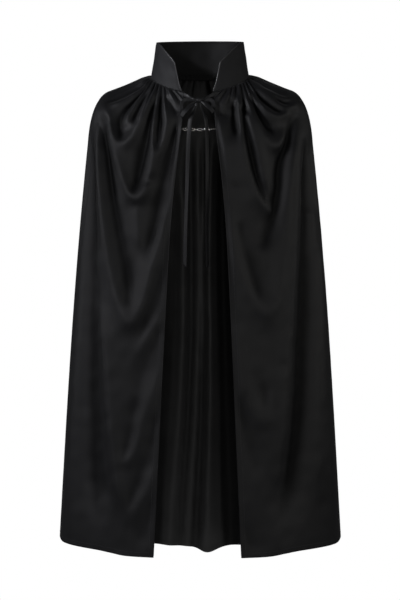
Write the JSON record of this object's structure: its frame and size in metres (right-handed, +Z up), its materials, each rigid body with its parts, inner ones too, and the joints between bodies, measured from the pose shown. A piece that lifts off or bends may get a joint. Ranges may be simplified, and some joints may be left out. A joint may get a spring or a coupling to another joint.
{
  "type": "stand-collar cape",
  "caption": "Full-length black satin cape with a stiff stand collar, gathered neckline, ribbon bow and chest chain.",
  "frame": {"origin": "centre of the neck opening, where the wearer's or a stand's neck holds the cape up", "axes": "+Z up along the wearer's height, the front faces -Y, +X is the wearer's left"},
  "size_m": [0.664, 0.3547, 1.2311],
  "materials": {
    "satin": "satin",
    "ribbon": "satin ribbon",
    "canvas": "matte woven canvas",
    "thread": "sewing thread",
    "steel": "bright plated wire"
  },
  "bodies": {
    "cape": {"back_panel": "satin", "left_front_panel": "satin", "right_front_panel": "satin", "collar_outer_layer": "satin", "collar_inner_layer": "satin", "neck_binding": "ribbon", "bow_knot": "ribbon", "left_tie_strap": "ribbon", "right_tie_strap": "ribbon", "left_bow_loop": "ribbon", "right_bow_loop": "ribbon", "collar_interlining": "canvas", "left_ring_keeper": "thread", "right_ring_keeper": "thread", "left_chain_ring": "steel", "right_chain_ring": "steel"},
    "left_skirt": {"left_front_skirt": "satin"},
    "right_skirt": {"right_front_skirt": "satin"},
    "left_tail": {"left_tie_tail": "ribbon"},
    "right_tail": {"right_tie_tail": "ribbon"},
    "chain": {"chain_link_01": "steel", "chain_link_02": "steel", "chain_link_03": "steel", "chain_link_04": "steel", "chain_link_05": "steel", "chain_link_06": "steel", "chain_link_07": "steel", "chain_link_08": "steel", "chain_hook": "steel"}
  },
  "joints": [
    {"name": "left_front_swing", "type": "hinge", "parent": "cape", "child": "left_skirt", "pos_m": [0.332, 0, -1.059], "axis": [-0.0755, 0, 0.9971], "range_deg": [0, 50]},
    {"name": "right_front_swing", "type": "hinge", "parent": "cape", "child": "right_skirt", "pos_m": [-0.332, 0, -1.059], "axis": [-0.0755, 0, -0.9971], "range_deg": [0, 50]},
    {"name": "left_tail_swing", "type": "hinge", "parent": "cape", "child": "left_tail", "pos_m": [0.0052, -0.0897, -0.0483], "axis": [0, -1, 0], "range_deg": [-2, 8]},
    {"name": "right_tail_swing", "type": "hinge", "parent": "cape", "child": "right_tail", "pos_m": [-0.0052, -0.0897, -0.0483], "axis": [0, 1, 0], "range_deg": [-2, 8]},
    {"name": "chain_swing", "type": "hinge", "parent": "cape", "child": "chain", "pos_m": [0, -0.0913, -0.108], "axis": [1, 0, 0], "range_deg": [-12, 12]}
  ]
}
